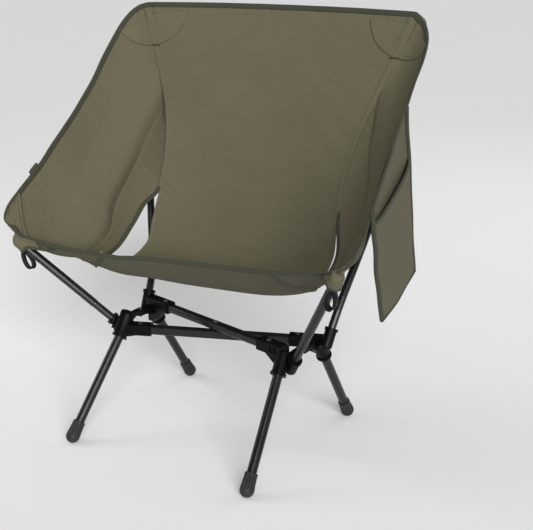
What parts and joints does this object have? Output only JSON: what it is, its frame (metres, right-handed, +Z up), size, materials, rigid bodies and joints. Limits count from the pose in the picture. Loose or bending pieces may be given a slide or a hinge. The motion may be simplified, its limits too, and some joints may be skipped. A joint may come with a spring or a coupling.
{
  "type": "backpacking chair",
  "caption": "Ultralight packable camp chair: rigid crossed base with moulded hubs, sprung plug-in legs, bent poles, a hung fabric bucket sling and a side pouch.",
  "frame": {"origin": "middle of the bounding box, on the floor", "axes": "+Z up, the chair faces -Y, +X to the right of someone standing in front of it"},
  "size_m": [0.606, 0.3587, 0.6477],
  "materials": {
    "anodised_tube": "black anodised, glossy",
    "moulded_nylon": "black, satin moulded",
    "foot_rubber": "black, ribbed",
    "rivet_metal": "bright",
    "sling_fabric": "olive ripstop weave",
    "patch_fabric": "olive, doubled and stitched",
    "webbing": "black woven"
  },
  "bodies": {
    "frame": {"arm_rivet_front_left": "rivet_metal", "arm_rivet_front_right": "rivet_metal", "arm_rivet_rear_left": "rivet_metal", "arm_rivet_rear_right": "rivet_metal", "corner_pocket_front_left": "patch_fabric", "corner_pocket_front_right": "patch_fabric", "corner_pocket_rear_left": "patch_fabric", "corner_pocket_rear_right": "patch_fabric", "crossing_rivet": "rivet_metal", "gear_loop_left": "webbing", "gear_loop_right": "webbing", "hub_front_left": "moulded_nylon", "hub_front_right": "moulded_nylon", "hub_rear_left": "moulded_nylon", "hub_rear_right": "moulded_nylon", "lower_rail": "anodised_tube", "pole_cap_front_left": "moulded_nylon", "pole_cap_front_right": "moulded_nylon", "pole_cap_rear_left": "moulded_nylon", "pole_cap_rear_right": "moulded_nylon", "pole_cord_front_left": "webbing", "pole_cord_front_right": "webbing", "pole_cord_rear_left": "webbing", "pole_cord_rear_right": "webbing", "pole_lower_front_left": "anodised_tube", "pole_lower_front_right": "anodised_tube", "pole_lower_rear_left": "anodised_tube", "pole_lower_rear_right": "anodised_tube", "pole_spigot_front_left": "rivet_metal", "pole_spigot_front_right": "rivet_metal", "pole_spigot_rear_left": "rivet_metal", "pole_spigot_rear_right": "rivet_metal", "pole_upper_front_left": "anodised_tube", "pole_upper_front_right": "anodised_tube", "pole_upper_rear_left": "anodised_tube", "pole_upper_rear_right": "anodised_tube", "sling_seat_back": "sling_fabric", "sling_wing_left": "sling_fabric", "sling_wing_right": "sling_fabric", "upper_rail": "anodised_tube", "web_rivet_left": "rivet_metal", "web_rivet_right": "rivet_metal"},
    "leg_front_left": {"leg_tube_front_left": "anodised_tube", "foot_front_left": "foot_rubber", "leg_cord_front_left": "webbing"},
    "leg_front_right": {"leg_tube_front_right": "anodised_tube", "foot_front_right": "foot_rubber", "leg_cord_front_right": "webbing"},
    "leg_rear_left": {"leg_tube_rear_left": "anodised_tube", "foot_rear_left": "foot_rubber", "leg_cord_rear_left": "webbing"},
    "leg_rear_right": {"leg_tube_rear_right": "anodised_tube", "foot_rear_right": "foot_rubber", "leg_cord_rear_right": "webbing"},
    "pouch": {"side_pouch": "sling_fabric"}
  },
  "joints": [
    {"name": "leg_front_left_slide", "type": "slide", "parent": "frame", "child": "leg_front_left", "axis": [-0.0765, -0.6185, -0.7821], "range_m": [0, 0.022], "stiffness_N_per_m": 150, "springref_m": -0.03},
    {"name": "leg_front_right_slide", "type": "slide", "parent": "frame", "child": "leg_front_right", "axis": [0.0765, -0.6185, -0.7821], "range_m": [0, 0.022], "stiffness_N_per_m": 150, "springref_m": -0.03},
    {"name": "leg_rear_left_slide", "type": "slide", "parent": "frame", "child": "leg_rear_left", "axis": [0.0033, 0.5638, -0.8259], "range_m": [0, 0.022], "stiffness_N_per_m": 150, "springref_m": -0.03},
    {"name": "leg_rear_right_slide", "type": "slide", "parent": "frame", "child": "leg_rear_right", "axis": [-0.0033, 0.5638, -0.8259], "range_m": [0, 0.022], "stiffness_N_per_m": 150, "springref_m": -0.03},
    {"name": "pouch_hinge", "type": "hinge", "parent": "frame", "child": "pouch", "pos_m": [0.29134, -0.08186, 0.407], "axis": [0.0599, -0.6987, -0.7129], "range_deg": [0, 35]}
  ]
}
